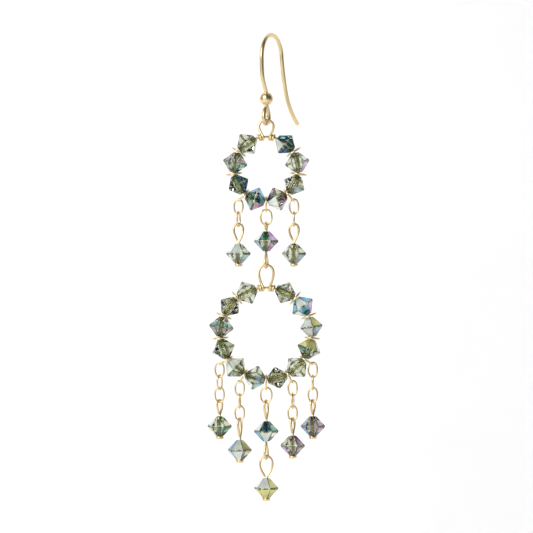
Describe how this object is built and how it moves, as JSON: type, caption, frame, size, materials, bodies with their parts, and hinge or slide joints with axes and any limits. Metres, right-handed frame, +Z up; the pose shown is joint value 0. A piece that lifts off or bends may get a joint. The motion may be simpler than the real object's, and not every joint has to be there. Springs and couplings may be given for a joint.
{
  "type": "chandelier earring",
  "caption": "Drop earring on a wire ear hook: a small and a large ring of faceted crystal beads, one under the other, with chain and crystal drops hanging from each.",
  "frame": {"origin": "inside top of the ear hook's bow, where the hook rests in the ear's piercing", "axes": "+Z up, against the way the earring hangs; +Y to the back, away from the viewer of its face; +X to the right as seen from the front, in the plane of the bead rings"},
  "size_m": [0.0185, 0.0128, 0.0751],
  "materials": {
    "gold_wire": "polished pale yellow gold, lightly drawn along the wire",
    "crystal": "clear smoky olive-grey cut crystal with an iridescent coating, polished facets"
  },
  "bodies": {
    "ear_wire": {"ear_hook": "gold_wire", "hook_ball": "gold_wire"},
    "upper_drop": {"upper_ring_wire": "gold_wire", "upper_ring_bead_1": "crystal", "upper_ring_bead_2": "crystal", "upper_ring_bead_3": "crystal", "upper_ring_bead_4": "crystal", "upper_ring_bead_5": "crystal", "upper_ring_bead_6": "crystal", "upper_ring_bead_7": "crystal", "upper_ring_bead_8": "crystal", "upper_ring_link_1": "gold_wire", "upper_ring_link_2": "gold_wire", "upper_ring_link_3": "gold_wire", "upper_ring_link_4": "gold_wire", "upper_left_chain": "gold_wire", "upper_left_pin": "gold_wire", "upper_left_bead": "crystal", "upper_right_chain": "gold_wire", "upper_right_pin": "gold_wire", "upper_right_bead": "crystal", "upper_centre_chain": "gold_wire", "upper_centre_pin": "gold_wire", "upper_centre_bead": "crystal"},
    "lower_drop": {"lower_ring_wire": "gold_wire", "lower_ring_bead_1": "crystal", "lower_ring_bead_2": "crystal", "lower_ring_bead_3": "crystal", "lower_ring_bead_4": "crystal", "lower_ring_bead_5": "crystal", "lower_ring_bead_6": "crystal", "lower_ring_bead_7": "crystal", "lower_ring_bead_8": "crystal", "lower_ring_bead_9": "crystal", "lower_ring_bead_10": "crystal", "lower_ring_bead_11": "crystal", "lower_ring_bead_12": "crystal", "lower_ring_link_1": "gold_wire", "lower_ring_link_2": "gold_wire", "lower_ring_link_3": "gold_wire", "lower_ring_link_4": "gold_wire", "lower_ring_link_5": "gold_wire", "lower_ring_link_6": "gold_wire", "lower_outer_left_chain": "gold_wire", "lower_outer_left_pin": "gold_wire", "lower_outer_left_bead": "crystal", "lower_inner_left_chain": "gold_wire", "lower_inner_left_pin": "gold_wire", "lower_inner_left_bead": "crystal", "lower_inner_right_chain": "gold_wire", "lower_inner_right_pin": "gold_wire", "lower_inner_right_bead": "crystal", "lower_outer_right_chain": "gold_wire", "lower_outer_right_pin": "gold_wire", "lower_outer_right_bead": "crystal", "lower_centre_chain": "gold_wire", "lower_centre_pin": "gold_wire", "lower_centre_bead": "crystal", "last_pin": "gold_wire", "last_bead": "crystal"}
  },
  "joints": [
    {"name": "upper_swing", "type": "hinge", "parent": "ear_wire", "child": "upper_drop", "pos_m": [-0.00089, -0.0019, -0.01342], "axis": [1, 0, 0], "range_deg": [-45, 45]},
    {"name": "lower_swing", "type": "hinge", "parent": "upper_drop", "child": "lower_drop", "pos_m": [-0.00089, -0.0019, -0.0366], "axis": [1, 0, 0], "range_deg": [-45, 45]}
  ]
}
